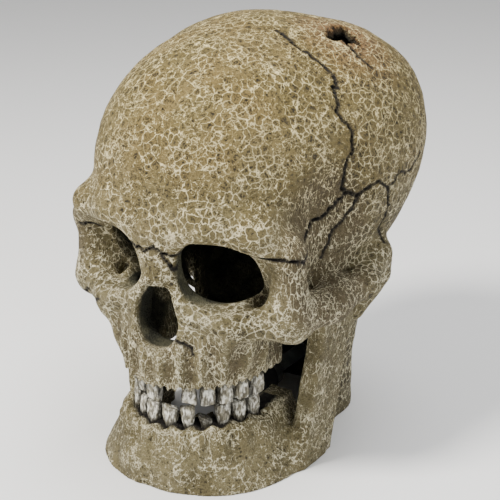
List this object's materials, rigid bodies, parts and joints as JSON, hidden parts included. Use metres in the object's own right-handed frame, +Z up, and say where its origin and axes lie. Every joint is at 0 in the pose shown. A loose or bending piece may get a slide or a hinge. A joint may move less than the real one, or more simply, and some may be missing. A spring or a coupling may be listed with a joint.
{
  "type": "bubbling aquarium ornament",
  "caption": "Hollow cast skull ornament with a cracked bone finish, separate teeth, and an air stone inside that bubbles through a hole in the crown.",
  "frame": {"origin": "on the floor, under the middle of the head", "axes": "+Z up, the face looks along -Y, the skull's left side is +X"},
  "size_m": [0.112, 0.146, 0.165],
  "materials": {
    "bone": "matte, crackled and dry brushed",
    "tooth": "matte with dark speckles",
    "air_stone": "coarse sintered",
    "clear_plastic": "satin",
    "silicone": "satin",
    "rubber": "matte",
    "black_plastic": "satin"
  },
  "bodies": {
    "ornament": {"airline_hose": "silicone", "inlet_connector": "clear_plastic", "inlet_grommet": "rubber", "jaw_casting": "bone", "lower_left_tooth_1": "tooth", "lower_left_tooth_2": "tooth", "lower_left_tooth_3": "tooth", "lower_left_tooth_4": "tooth", "lower_left_tooth_5": "tooth", "lower_left_tooth_6": "tooth", "lower_right_tooth_1": "tooth", "lower_right_tooth_2": "tooth", "lower_right_tooth_3": "tooth", "lower_right_tooth_4": "tooth", "lower_right_tooth_5": "tooth", "lower_right_tooth_6": "tooth", "skull_casting": "bone", "stone_clip": "black_plastic", "upper_left_tooth_2": "tooth", "upper_left_tooth_3": "tooth", "upper_left_tooth_4": "tooth", "upper_left_tooth_5": "tooth", "upper_left_tooth_6": "tooth", "upper_right_tooth_1": "tooth", "upper_right_tooth_2": "tooth", "upper_right_tooth_3": "tooth", "upper_right_tooth_4": "tooth", "upper_right_tooth_5": "tooth", "upper_right_tooth_6": "tooth"},
    "bubble_stone": {"air_stone": "air_stone", "stone_nipple": "clear_plastic"}
  },
  "joints": [
    {"name": "stone_pull", "type": "slide", "parent": "ornament", "child": "bubble_stone", "axis": [0, -1, 0], "range_m": [0, 0.016]}
  ]
}
